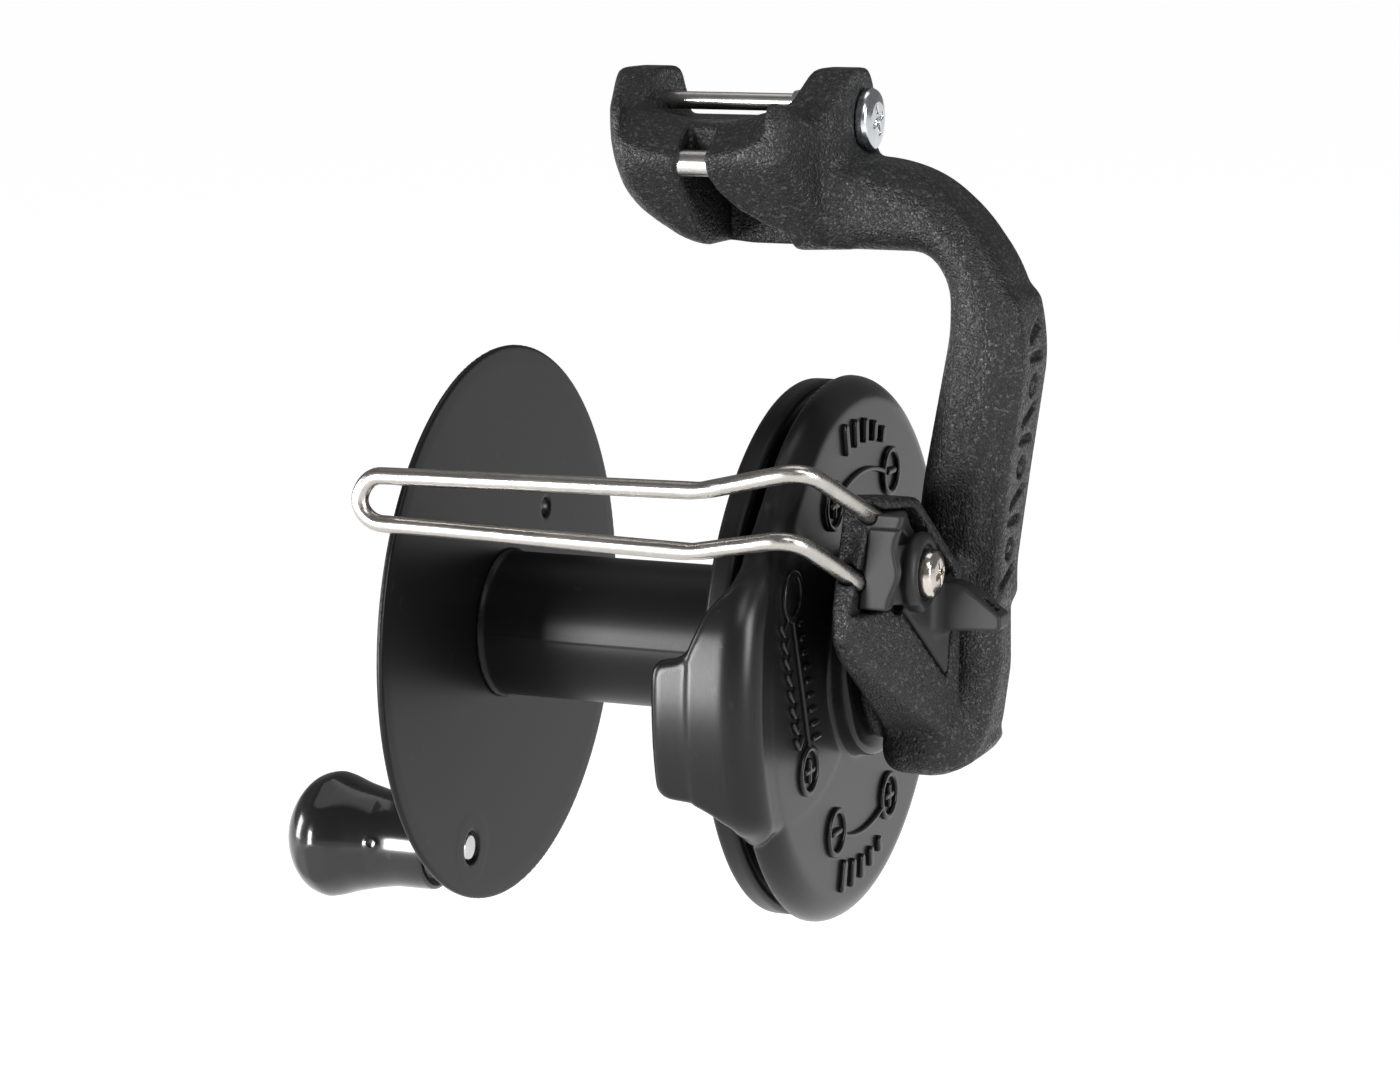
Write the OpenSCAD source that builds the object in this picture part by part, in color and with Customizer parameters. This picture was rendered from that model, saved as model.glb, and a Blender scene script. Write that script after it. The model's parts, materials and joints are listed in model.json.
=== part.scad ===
// Hand-wound line reel on a cranked arm. The arm ends in a yoke that pins under a
// barrel, with the reel hanging below it.
// Frame: millimetres, +Z up, +X along the reel axis from the crank side to the arm,
// -Y towards the user's front. The origin is the middle of the yoke's cross pin.

/* [Reel] */
// Height of the cross pin above the reel axis
axis_drop = 95.4; // [92:0.1:105]
// Distance from the yoke's middle plane to the crank flange's inner face
spool_offset = 45.3; // [44:0.1:47]
// Radius of the crank flange
crank_flange_r = 50.6; // [46:0.1:51.5]
// Radius of the brake flange
brake_flange_r = 47.3; // [44:0.1:47.6]
// Line width between the flanges
spool_width = 56.8; // [52:0.1:57.4]
// Radius of the drum that the line is wound on
drum_r = 13.1; // [11:0.1:16]

/* [Crank] */
// Radius of the circle that the knob runs on
crank_r = 41.9; // [36:0.1:43]
// Angle of the knob below the front of the reel
crank_angle = 67.5; // [0:0.5:90]
// Length of the knob
knob_length = 28.4; // [24:0.1:40]
// Largest radius of the knob
knob_r = 11.4; // [10:0.1:14]

/* [Friction disc] */
// Radius of the friction disc
disc_r = 47.9; // [46:0.1:48]
// Thickness of the friction disc at its rim
disc_rim = 5; // [4:0.1:6]
// Radius of the outside of the thumb pod
pod_r = 54; // [52:0.1:58]
// Travel of the pressure plate when the disc is fully on
plate_travel = 1.2; // [0.8:0.1:1.2]

/* [Yoke] */
// Clear width between the two ears
ear_gap = 27; // [24:0.5:28]
// Thickness of each ear
ear_t = 8.9; // [8:0.1:10]
// Diameter of the upper cross pin
cross_pin_d = 3.1; // [2.5:0.1:3.2]
// Diameter of the lower cross pin
hook_pin_d = 4.5; // [4:0.1:5]

/* [Line guide] */
// Diameter of the guide wire
wire_d = 3; // [2.5:0.1:3.2]
// Distance of the wire loop in front of the reel axis
wire_front = 49; // [48.5:0.1:52]

/* [Hidden] */
$fn = 96;
eps = 0.01;

// Stations along the reel axis, measured from the crank flange's inner face
flange_t = 2;
brake_face_x = spool_width;
brake_back_x = spool_width + 2.4;
sleeve_x = brake_back_x + 0.3;
washer_x = brake_back_x + plate_travel + 0.2;
plate_x = washer_x + 1.2;
plate_back_x = plate_x + 2;
disc_back_x = 63.5;
disc_face_x = disc_back_x + disc_rim;
disc_web_x = disc_face_x - 2.6;
boss_face_x = 72.6;
hub_x = 74.8;
axle_seat_x = 85.4;
axle_end_x = -7;

// Radii on the axle
fit = 0.05;
axle_r = 4;
sleeve_r = 8;
bush_r = 7;
disc_bore_r = 11;
end_screw_r = 1.65;

// Thumb pod
pod_in_r = brake_flange_r + 0.9;
pod_end_x = 50.4;

// Crank and line hole
crank_y = -crank_r * cos(crank_angle);
crank_z = -crank_r * sin(crank_angle);
knob_start_x = -6.2;
knob_end_x = knob_start_x - knob_length;
pin_head_x = knob_end_x + 5.2;
pin_head_r = 3.9;
knob_cap_r = 4.2;
knob_pin_r = 3;
// Knob outline: parts of its length from the flange, and parts of its largest radius
knob_profile = [[0, 0.72], [0.2, 0.73], [0.29, 0.74], [0.4, 0.78], [0.49, 0.81], [0.56, 0.86], [0.63, 0.93],
    [0.68, 0.98], [0.73, 1], [0.8, 0.97], [0.86, 0.88], [0.91, 0.77], [0.955, 0.63], [0.985, 0.5], [1, 0.45]];
line_hole = [17.3, 18.6];
line_hole_r = 1.8;

// Inner and outer radii of the thrust ring and the friction washer
thrust_r = [20, 30];
lining_r = [18, 39];

// Flange of the axle that bears on the arm
axle_flange_r = 9;
axle_flange_t = 1.8;

// Screws through the brake flange into the drum
flange_screw_turns = [0, 120, 240];
flange_screw_circle = 10;
flange_screw_r = 1.1;
flange_head_r = 2.4;

// Yoke
ear_in = ear_gap / 2;
ear_out = ear_in + ear_t;
pin_end = ear_in + 5.8;
ear_round_r = 10.6;
ear_mid_z = -4.2;
ear_top_z = ear_mid_z + ear_round_r;
saddle_z = -2.8;
slot_half = 2.7;
hook_pin_y = -20;
hook_pin_z = -9.5;
screw_y = 2.3;
screw_z = -2.8;
screw_r = 1.7;

// Beam, strut and foot
beam_top_z = -8.8;
beam_bottom_z = -24.5;
strut_half = 10;
foot_in_x = 31.2;
foot_z = -axis_drop - 18;

// Recesses along the strut's outer face, which leans inwards on its way down
mark_top = [52.1, -3.4, -48];
mark_size = [5, 6.8, 2.8];
mark_pitch = 5.4;
strut_lean = 0.124;

// Guide block and screw, about the reel axis
pocket_x = 78.6;
guide_y = -22;
guide_z = 18.8;
guide_seat_x = 87.2;
guide_head_r = 4.2;

// Guide wire, about the reel axis
loop_x = -0.2;
loop_z = 29.9;
loop_r = 4.1;
upper_knee = [57.8, -wire_front, 34.9];
upper_bend = [75.9, -wire_front, 39.3];
upper_foot = [82.6, -29, 27.6];
lower_knee = [56.4, -wire_front, 24.7];
lower_bend = [73.8, -wire_front, 28];
lower_foot = [81.3, -29, 15.9];

// Moves children from the reel's own axis into the frame of the part
module at_reel() translate([-spool_offset, 0, -axis_drop]) children();
// Turns a shape made about +Z so that it runs along +X from x
module along_x(x = 0) translate([x, 0, 0]) rotate([0, 90, 0]) children();
// Solid of revolution about the reel axis; the points are [radius, x]
module lathe(points) rotate([0, 90, 0]) rotate_extrude() polygon(points);
// Tube about the reel axis
module tube(x0, x1, r_in, r_out) along_x(x0) difference() {
    cylinder(r = r_out, h = x1 - x0);
    translate([0, 0, -1]) cylinder(r = r_in, h = x1 - x0 + 2);
}
// Cylinder about the reel axis
module rod(x0, x1, r) along_x(x0) cylinder(r = r, h = x1 - x0);
// Extrudes an outline given as [x, z] along Y between two stations
module across_y(y0, y1) translate([0, y1, 0]) rotate([90, 0, 0]) linear_extrude(y1 - y0) children();
// Extrudes an outline given as [y, z] along X between two stations
module across_x(x0, x1) translate([x0, 0, 0]) rotate([90, 0, 90]) linear_extrude(x1 - x0) children();

// ---- Arm -------------------------------------------------------------------

// Front view of the yoke, in [x, z]
module yoke_front() difference() {
    polygon([[-ear_out, ear_top_z], [-ear_out, -5.5], [-21, -9], [-19.3, -14.2], [-16.5, -17.7],
        [-13, -20.4], [-9.2, -22.4], [-5.5, -23.8], [0, beam_bottom_z], [ear_out, beam_bottom_z],
        [ear_out, ear_top_z]]);
    translate([-ear_in, saddle_z]) square([ear_gap, 12]);
}

// Side view of the yoke, in [y, z]
module yoke_side() {
    translate([0, ear_mid_z]) circle(r = ear_round_r);
    polygon([[-24.3, -8.5], [-24, -1.5], [-22, 1], [-14, -0.8], [-9, -0.8], [8, 1.8],
        [10, -2], [10, beam_bottom_z],
        [-4, beam_bottom_z], [-8.5, -23], [-13.5, -18], [-19, -13], [-24, -9.4]]);
}

// Plan view of the yoke, in [x, y]: a nose that narrows towards the front
module yoke_plan() polygon([[-14.6, -24.4], [-ear_out + 1, -11], [-ear_out, -7], [-ear_out, 5],
    [-ear_out + 1.4, 9], [-ear_in, 10.5], [ear_out, 10.5], [ear_out, -8], [ear_out - 2, -12], [16.5, -24.4]]);

// Yoke: three views intersected, with a sloping front lip and a slot for the hook pin
module yoke() difference() {
    intersection() {
        across_y(-30, 15) yoke_front();
        across_x(-30, ear_out) yoke_side();
        translate([0, 0, -30]) linear_extrude(40) yoke_plan();
    }
    across_x(-ear_in, ear_in) polygon([[-30, -12.6], [-16.3, saddle_z], [-16.3, 2], [-30, 2]]);
    translate([-slot_half, -30, -30]) cube([2 * slot_half, 13.5, 40]);
    translate([-slot_half, -30, -30]) cube([2 * slot_half, 34, 18.4]);
}

// Front view of the beam, the bend and the strut down to the foot, in [x, z]
module strut_front() polygon([[ear_out - 3, beam_top_z], [28, -9], [36, -11.9], [43.2, -18],
    [48.6, -25.3], [52.2, -33], [53.4, -41], [50.8, -62], [48, -81], [47.6, -99], [46, -106], [43, -111],
    [38.5, foot_z], [foot_in_x, foot_z], [foot_in_x, -80], [34.4, -74], [39.1, -46],
    [40.2, -38], [39.6, -30.5], [37, -26], [33, beam_bottom_z], [ear_out - 3, beam_bottom_z]]);

module strut() across_y(-strut_half, strut_half) strut_front();

// Side view of the forearm that carries the line guide, in [y, z] about the reel axis
module forearm_side() polygon([[-34, 12.5], [-22.5, -2], [-12, -17.3], [-8, foot_z + axis_drop],
    [strut_half, foot_z + axis_drop], [strut_half, 14], [-10, 18], [-18.5, 32], [-34, 32]]);

// Plan view of the forearm, in [x, y] from the crank flange: its outer face leans outwards
module forearm_plan() polygon([[foot_in_x + spool_offset, -34], [81.5, -34], [88.5, -10], [88.5, 10],
    [foot_in_x + spool_offset, 10]]);

module forearm() intersection() {
    across_x(70, 95) forearm_side();
    translate([0, 0, -25]) linear_extrude(60) forearm_plan();
}

// Outline of the pocket for the guide block, in [y, z] about the reel axis, shrunk by a gap
module pocket_side(gap) polygon([[-34.2, 30.5 - gap], [-17.7 - gap, 30.5 - gap], [-10.4 - gap, 16.6 - gap],
    [-10.4 - gap, 9], [-12.5 - gap / 2, 1 + 2 * gap], [-25, 14.8 + gap], [-34.2, 15.3 + gap]]);

// The guide wire's two legs as they enter the block
module wire_ends(r) {
    leg(upper_bend, upper_foot, r);
    leg(lower_bend, lower_foot, r);
}

module arm() color("#1c1c1e") difference() {
    union() {
        yoke();
        strut();
        at_reel() forearm();
        at_reel() rod(hub_x, foot_in_x + spool_offset + eps, 15);
    }
    at_reel() {
        // pocket for the guide block behind a thin front wall
        across_x(pocket_x, 95) intersection() {
            pocket_side(0);
            translate([-31.5, 0]) square([40, 40]);
        }
        across_x(81.4, 95) pocket_side(0);
        wire_ends(wire_d / 2 + 0.3);
        rod(hub_x - 1, axle_seat_x, axle_r);
        translate([0, guide_y, guide_z]) rod(70, 84, 1.3);
    }
    // row of plain recesses on the outer face of the strut
    for (i = [0 : 6])
        translate(mark_top - mark_pitch * i * [strut_lean, 0, 1]) cube(mark_size);
    // holes for the cross pin, the hook pin and the clamp screw
    rod(-pin_end, ear_out + 1, cross_pin_d / 2);
    translate([0, hook_pin_y, hook_pin_z]) rod(-ear_in - 0.5, ear_in + 0.5, hook_pin_d / 2);
    translate([0, screw_y, screw_z]) rod(ear_out - 7.2, ear_out + 1, screw_r);
}

// ---- Yoke hardware ---------------------------------------------------------

module upper_cross_pin() color("#c9c5bf") rod(-pin_end, ear_out - 0.2, cross_pin_d / 2);

module hook_pin() color("#bdb6ae") translate([0, hook_pin_y, hook_pin_z])
    rod(-ear_in - 0.5, ear_in + 0.5, hook_pin_d / 2);

// Tapered collar on the cross pin beside the outer ear
module pin_collar() color("#d8d5d0") difference() {
    lathe([[0, ear_in - 3.2], [2, ear_in - 3.2], [2.6, ear_in - 0.4], [2.6, ear_in], [0, ear_in]]);
    rod(ear_in - 4, ear_in + 1, cross_pin_d / 2);
}

// Pan head screw along +X with a cross recess: the head's seat is at x, the shank below it
module pan_screw(x, head_r, head_h, shank_r, shank) difference() {
    union() {
        lathe([[0, x], [head_r, x], [head_r, x + head_h * 0.6], [head_r * 0.84, x + head_h * 0.9],
            [head_r * 0.5, x + head_h], [0, x + head_h]]);
        rod(x - shank, x + eps, shank_r);
    }
    for (a = [0, 90])
        rotate([a, 0, 0]) translate([x + head_h * 0.45, -head_r * 0.5, -head_r * 0.09])
            cube([head_h, head_r, head_r * 0.18]);
}

module clamp_screw() color("#cfd6d8") translate([0, screw_y, screw_z])
    pan_screw(ear_out, 5.4, 2.3, screw_r, 7);

// ---- Axle and brake --------------------------------------------------------

module axle() color("#b8b8ba") at_reel() difference() {
    lathe([[0, axle_end_x], [axle_r, axle_end_x], [axle_r, hub_x - axle_flange_t],
        [axle_flange_r, hub_x - axle_flange_t], [axle_flange_r, hub_x], [axle_r, hub_x],
        [axle_r, axle_seat_x], [0, axle_seat_x]]);
    rod(axle_end_x - 1, axle_end_x + 12, end_screw_r);
}

// Sleeve on the axle that the disc turns on and the pressure plate slides on
module brake_sleeve() color("#b59a55") at_reel() lathe([[axle_r, sleeve_x], [10.4, sleeve_x],
    [10.4, sleeve_x + 0.7], [sleeve_r, sleeve_x + 0.7], [sleeve_r, hub_x - axle_flange_t],
    [axle_r, hub_x - axle_flange_t]]);

module retaining_washer() color("#c4c4c4") at_reel()
    tube(axle_end_x - 1.2, axle_end_x, end_screw_r, 8);

module retaining_screw() color("#c8c8ca") at_reel() mirror([1, 0, 0])
    pan_screw(1.2 - axle_end_x, 4.6, 2.8, end_screw_r, 11);

// ---- Line guide ------------------------------------------------------------

// Round bar between two points
module leg(a, b, r) {
    d = b - a;
    n = norm(d);
    translate(a) rotate([0, acos(d.z / n), atan2(d.y, d.x)]) cylinder(r = r, h = n);
}

function unit(v) = v / norm(v);
// Points of a rounded corner at b between a and c, starting a distance reach from it
function corner(a, b, c, reach, n) = let(p = b + reach * unit(a - b), q = b + reach * unit(c - b))
    [for (i = [0 : n]) let(t = i / n) (1 - t) * (1 - t) * p + 2 * t * (1 - t) * b + t * t * q];
// Ring of points round a path point, square to the path
function ring(path, i, r, sides) = let(
        t = unit(path[min(i + 1, len(path) - 1)] - path[max(i - 1, 0)]),
        x = unit(cross(t, [0, 1, 0])), y = cross(t, x))
    [for (k = [0 : sides - 1]) path[i] + r * (cos(360 * k / sides) * x + sin(360 * k / sides) * y)];

// Round wire along a path
module sweep(path, r, sides) {
    last = len(path) - 1;
    points = [for (i = [0 : last]) each ring(path, i, r, sides)];
    walls = [for (i = [0 : last - 1], k = [0 : sides - 1])
        [i * sides + k, i * sides + (k + 1) % sides, (i + 1) * sides + (k + 1) % sides, (i + 1) * sides + k]];
    ends = [[for (k = [sides - 1 : -1 : 0]) k], [for (k = [0 : sides - 1]) last * sides + k]];
    polyhedron(points = points, faces = concat(walls, ends), convexity = 6);
}

module guide_wire() color("#c6c2bc") at_reel() {
    top = [loop_x, -wire_front, loop_z + loop_r];
    low = [loop_x, -wire_front, loop_z - loop_r];
    loop = [for (i = [0 : 10]) [loop_x - loop_r * sin(18 * i), -wire_front, loop_z + loop_r * cos(18 * i)]];
    sweep(concat([upper_foot], corner(upper_foot, upper_bend, upper_knee, 4.5, 7),
        corner(upper_bend, upper_knee, top, 2.5, 4), loop, corner(low, lower_knee, lower_bend, 2.5, 4),
        corner(lower_knee, lower_bend, lower_foot, 4.5, 7), [lower_foot]), wire_d / 2, 12);
}

module guide_block() color("#2b2b2d") at_reel() difference() {
    union() {
        intersection() {
            across_x(pocket_x, 95) pocket_side(0.15);
            translate([0, 0, -5]) linear_extrude(40) polygon([[pocket_x, -31.4], [81.5, -31.4], [81.5, -33],
                [85.4, -33], [87, -28], [87.4, -17], [88, -13], [88.2, -10], [pocket_x, -10]]);
        }
        // finger tab
        across_y(-15.6, -12.6) polygon([[80, 16], [86, 18.4], [90.5, 17.6], [98.6, 11.2], [98.5, 8.4],
            [92, 7.4], [86, 5], [80, 8]]);
    }
    wire_ends(wire_d / 2);
    translate([0, guide_y, guide_z]) rod(70, 95, 1.4);
    translate([0, guide_y, guide_z]) rod(guide_seat_x, 95, guide_head_r + 0.5);
}

module guide_screw() color("#c9c0b4") at_reel() translate([0, guide_y, guide_z])
    pan_screw(guide_seat_x, guide_head_r, 2.9, 1.3, 9);

// ---- Friction disc ---------------------------------------------------------

// Sector of a ring about the reel axis, between two angles above the front, with its outline in [radius, x]
module sector(a0, a1) rotate([-90, 0, 0]) rotate([0, 90, 0]) rotate([0, 0, -a1])
    rotate_extrude(angle = a1 - a0) children();

module friction_disc() color("#202022") at_reel() {
    lathe([[disc_bore_r, boss_face_x], [17.4, boss_face_x], [18.2, boss_face_x - 0.8], [18.2, disc_face_x],
        [disc_r - 5.7, disc_face_x], [disc_r - 2.9, disc_face_x - 0.8], [disc_r - 0.8, disc_face_x - 2.8],
        [disc_r, disc_back_x + 0.8], [disc_r - 0.4, disc_back_x], [44, disc_back_x], [44, disc_web_x],
        [disc_bore_r, disc_web_x]]);
    // thumb pod: a wide body on the rim and a narrower end that overhangs the brake flange
    sector(-24, 14) polygon([[46, disc_back_x + 0.4], [pod_in_r, disc_back_x + 0.4], [pod_in_r, 57],
        [pod_r, 57], [pod_r, 64], [pod_r - 2.2, 66.9], [46, disc_face_x]]);
    sector(-18.5, 7.5) polygon([[pod_in_r, pod_end_x], [pod_r - 1, pod_end_x], [pod_r - 0.5, pod_end_x + 0.5],
        [pod_r - 0.5, 57 + eps], [pod_in_r, 57 + eps]]);
}

// Place on the face of the disc, at a radius and an angle above the front
module on_face(r, a) translate([disc_face_x, -r * cos(a), r * sin(a)]) children();

module mark_ring() tube(0, 0.7, 3.5, 4.4);
module mark_bar(turn) rotate([turn, 0, 0]) translate([0, -2.2, -0.45]) cube([0.5, 4.4, 0.9]);

// Raised wear and setting marks: rings with plus and minus bars, joined by arcs and a line
module disc_marks() color("#262628") at_reel() {
    for (m = [[32, 61, true], [32, 115, false], [32, -116, true], [32, -66, false], [31.4, -30, true]])
        on_face(m[0], m[1]) {
            mark_ring();
            mark_bar(90);
            if (m[2]) mark_bar(0);
        }
    on_face(38.8, 24) mark_ring();
    for (a = [69.5, -107.5])
        translate([disc_face_x, 0, 0]) sector(a, a + 37) translate([31.6, 0]) square([0.9, 0.5]);
    // graded wedges above each arc
    for (side = [1, -1], i = [0 : 4])
        translate([disc_face_x, 0, 0]) sector(side * 90 - 14 + 7 * i - 2, side * 90 - 14 + 7 * i + 2)
            translate([37, 0]) square([side > 0 ? 4.4 - 0.7 * i : 1.6 + 0.7 * i, 0.6]);
}

module disc_bush() color("#b59a55") at_reel()
    tube(disc_web_x, boss_face_x - 0.2, sleeve_r + fit, disc_bore_r);

module thrust_ring() color("#d8d4c8") at_reel()
    tube(plate_back_x + 0.3, disc_web_x, thrust_r[0], thrust_r[1]);

module pressure_plate() color("#9a9a9c") at_reel() tube(plate_x, plate_back_x, sleeve_r + fit, 41);

module friction_washer() color("#4a4038") at_reel()
    tube(washer_x, plate_x, lining_r[0], lining_r[1]);

module return_spring() color("#8c8c8e") at_reel() tube(sleeve_x + 0.7, plate_x, sleeve_r + 0.3, 10.1);

// ---- Spool -----------------------------------------------------------------

module crank_flange() color("#242426") at_reel() difference() {
    union() {
        lathe([[bush_r, 0], [crank_flange_r - 3, 0], [crank_flange_r - 0.3, -0.1], [crank_flange_r, -0.4],
            [crank_flange_r, -0.9], [crank_flange_r - 0.3, -1.2], [crank_flange_r - 4, -flange_t],
            [15, -flange_t], [14, -5.8], [bush_r, -5.8]]);
        translate([0, crank_y, crank_z]) rod(-5.2, -1, 6.5);
    }
    translate([0, crank_y, crank_z]) rod(-6, 1, knob_pin_r - 0.6);
    translate([0, crank_y, crank_z]) rod(-0.9, 1, 2.9);
    translate([0, line_hole[0], line_hole[1]]) rod(-3, 1, line_hole_r);
}

module at_flange_screws() for (a = flange_screw_turns)
    rotate([a, 0, 0]) translate([0, flange_screw_circle, 0]) children();

module drum() color("#242426") at_reel() difference() {
    rod(0, brake_face_x, drum_r);
    rod(-1, brake_face_x + 1, bush_r);
    rod(10, brake_face_x - 10, 9.5);
    at_flange_screws() rod(brake_face_x - 9, brake_face_x + 1, flange_screw_r);
}

module brake_flange() color("#242426") at_reel() difference() {
    lathe([[5, brake_face_x], [brake_flange_r - 3.5, brake_face_x],
        [brake_flange_r - 1.2, brake_face_x - 0.5],
        [brake_flange_r, brake_face_x + 0.4], [brake_flange_r, brake_back_x + 0.4],
        [brake_flange_r - 0.8, brake_back_x + 1], [brake_flange_r - 2.4, brake_back_x], [5, brake_back_x]]);
    at_flange_screws() {
        rod(brake_face_x - 1, brake_back_x + 1, flange_screw_r);
        rod(brake_back_x - 1.2, brake_back_x + 1, flange_head_r);
    }
}

module flange_screws() color("#a8a8aa") at_reel() at_flange_screws() {
    rod(brake_face_x - 8, brake_back_x - 1.1, flange_screw_r);
    rod(brake_back_x - 1.2, brake_back_x - 0.2, flange_head_r);
}

// Plain bushes pressed into the two ends of the drum
module crank_side_bush() color("#e2ded2") at_reel() tube(-6.6, 9.9, axle_r + fit, bush_r);
module brake_side_bush() color("#e2ded2") at_reel()
    tube(brake_face_x - 9.9, brake_face_x, axle_r + fit, bush_r);

// ---- Crank knob ------------------------------------------------------------

module at_knob() at_reel() translate([0, crank_y, crank_z]) children();

module knob_pin() color("#b9b2a8") at_knob() lathe([[0, -0.5], [knob_pin_r - 0.6, -0.5],
    [knob_pin_r - 0.6, -5.2], [knob_pin_r, -5.2], [knob_pin_r, pin_head_x], [pin_head_r, pin_head_x],
    [pin_head_r, pin_head_x - 1.6], [0, pin_head_x - 1.6]]);

module knob_washer() color("#dcd8cc") at_knob() tube(knob_start_x + 0.2, -5.3, knob_pin_r + fit, 6);

// Waisted knob: slim beside the flange and swelling to the palm end
module crank_knob() color("#161618") at_knob() difference() {
    lathe(concat([[0, knob_start_x]],
        [for (p = knob_profile) [knob_r * p[1], knob_start_x - knob_length * p[0]]],
        [[0, knob_end_x]]));
    rod(knob_end_x - 1, knob_start_x + 1, knob_pin_r + fit);
    rod(knob_end_x - 1, pin_head_x + 0.15, knob_cap_r);
    // five shallow flats along the swell
    for (i = [0 : 4])
        rotate([36 + 72 * i, 0, 0]) translate([knob_end_x, -4, knob_r - 0.35]) cube([knob_length, 8, 3]);
}

module knob_cap() color("#161618") at_knob() rod(knob_end_x, pin_head_x - 1.9, knob_cap_r);

arm();
upper_cross_pin();
hook_pin();
pin_collar();
clamp_screw();
axle();
brake_sleeve();
retaining_washer();
retaining_screw();
guide_block();
guide_wire();
guide_screw();
friction_disc();
disc_marks();
disc_bush();
thrust_ring();
pressure_plate();
friction_washer();
return_spring();
crank_flange();
drum();
brake_flange();
flange_screws();
crank_side_bush();
brake_side_bush();
knob_pin();
crank_knob();
knob_cap();
knob_washer();
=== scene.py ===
"""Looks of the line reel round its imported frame. Blender units are metres.

Sculpted parts are signed distance fields in millimetres, turned into meshes by
surface nets. "Reel" coordinates start on the reel axis at the crank flange.
"""
import json
import math

import bpy
import numpy as np
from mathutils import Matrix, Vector


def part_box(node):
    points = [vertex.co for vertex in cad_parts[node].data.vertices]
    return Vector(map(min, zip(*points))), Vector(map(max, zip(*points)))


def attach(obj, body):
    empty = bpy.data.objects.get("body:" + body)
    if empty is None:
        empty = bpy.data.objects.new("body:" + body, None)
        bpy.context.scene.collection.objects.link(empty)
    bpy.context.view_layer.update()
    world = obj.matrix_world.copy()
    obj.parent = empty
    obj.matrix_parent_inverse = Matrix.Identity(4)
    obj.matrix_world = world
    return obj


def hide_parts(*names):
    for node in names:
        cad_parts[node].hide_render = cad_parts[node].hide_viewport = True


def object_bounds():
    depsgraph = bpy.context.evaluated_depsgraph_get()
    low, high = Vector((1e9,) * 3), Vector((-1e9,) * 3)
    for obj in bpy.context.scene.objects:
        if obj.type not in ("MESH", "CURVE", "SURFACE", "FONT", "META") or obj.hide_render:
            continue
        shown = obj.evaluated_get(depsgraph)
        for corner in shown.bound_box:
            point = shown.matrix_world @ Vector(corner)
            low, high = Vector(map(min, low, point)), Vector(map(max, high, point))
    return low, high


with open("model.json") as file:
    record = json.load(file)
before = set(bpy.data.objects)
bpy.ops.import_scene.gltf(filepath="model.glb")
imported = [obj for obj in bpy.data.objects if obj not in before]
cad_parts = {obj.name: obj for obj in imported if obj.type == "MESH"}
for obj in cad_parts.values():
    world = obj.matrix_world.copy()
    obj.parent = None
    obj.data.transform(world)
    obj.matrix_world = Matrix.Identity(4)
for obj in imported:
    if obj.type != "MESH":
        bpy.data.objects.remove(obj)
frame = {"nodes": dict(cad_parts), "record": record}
cad_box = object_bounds()

# ---- Camera ------------------------------------------------------------------

scene = bpy.context.scene
scene.view_settings.view_transform = "Standard"
camera_data = bpy.data.cameras.new("camera")
camera_data.lens = 93.81
camera_data.sensor_width = 36
camera = bpy.data.objects.new("camera", camera_data)
scene.collection.objects.link(camera)
scene.camera = camera
camera.location = (0.23215, -0.59301, 0.0329)
LOOK_AT = Vector((-0.0137, 0.01556, -0.0804))
camera.rotation_euler = (LOOK_AT - camera.location).to_track_quat("-Z", "Y").to_euler()

# ---- Places taken from the frame, in millimetres -------------------------------

MM = 0.001


def span(node, axis):
    """Lowest and highest millimetre of a CAD node along an axis, 0 to 2."""
    low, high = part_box(node)
    return low[axis] / MM, high[axis] / MM


def middle(node, axis):
    return sum(span(node, axis)) / 2


def half_width(node, axis):
    low, high = span(node, axis)
    return (high - low) / 2


REEL_X = span("drum", 0)[0]
REEL_Z = middle("drum", 2)
REEL = (REEL_X, 0.0, REEL_Z)
KNOB_Y = middle("crank_knob", 1)
KNOB_Z = middle("crank_knob", 2) - REEL_Z
FLANGE_R = half_width("crank_flange", 1)
BRAKE_R = half_width("brake_flange", 1)
DRUM_R = half_width("drum", 1)
DRUM_END = span("drum", 0)[1] - REEL_X
PLATE_BACK = span("brake_flange", 0)[1] - REEL_X
DISC_BACK = 63.5
DISC_FACE = 68.5
BOSS_FACE = span("friction_disc", 0)[1] - REEL_X
# The cover is a little wider than its CAD solid
DISC_R = span("friction_disc", 1)[1] + 0.4
POD_R = -span("friction_disc", 1)[0]
KNOB_START = span("crank_knob", 0)[1] - REEL_X
KNOB_END = span("crank_knob", 0)[0] - REEL_X
# Heights of the three screw heads
CLAMP_HEAD = 2.3
GUIDE_HEAD = 2.9
AXLE_HEAD = 2.8
SCREW_SEAT = span("clamp_screw", 0)[1] - CLAMP_HEAD
SCREW_Y = middle("clamp_screw", 1)
SCREW_Z = middle("clamp_screw", 2)
GUIDE_Y = middle("guide_screw", 1)
GUIDE_Z = middle("guide_screw", 2) - REEL_Z
GUIDE_SEAT = span("guide_screw", 0)[1] - GUIDE_HEAD - REEL_X
EAR_OUT = SCREW_SEAT
EAR_IN = EAR_OUT - 8.9
FOOT_IN = 76.5
FOOT_DROP = 18.4
POD_GAP = BRAKE_R + 0.9
RIM_ROUND = 5.0
STRUT_HALF = 10

# ---- Distance fields -----------------------------------------------------------

COARSE = 1.0


class Field:
    """Sample points in a box, as arrays that broadcast against each other."""

    def __init__(self, low, high, step):
        self.step = step * COARSE
        self.low = low
        axes = [np.arange(a, b + self.step, self.step, dtype=np.float32) for a, b in zip(low, high)]
        self.x = axes[0][:, None, None]
        self.y = axes[1][None, :, None]
        self.z = axes[2][None, None, :]
        self.shape = tuple(len(a) for a in axes)


def meet(a, b, r=0.0):
    """What both shapes hold, with its new edge rounded to radius r, a number or an array."""
    if np.isscalar(r) and r == 0:
        return np.maximum(a, b)
    return np.minimum(-r, np.maximum(a, b)) + np.hypot(np.maximum(a + r, 0), np.maximum(b + r, 0))


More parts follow.
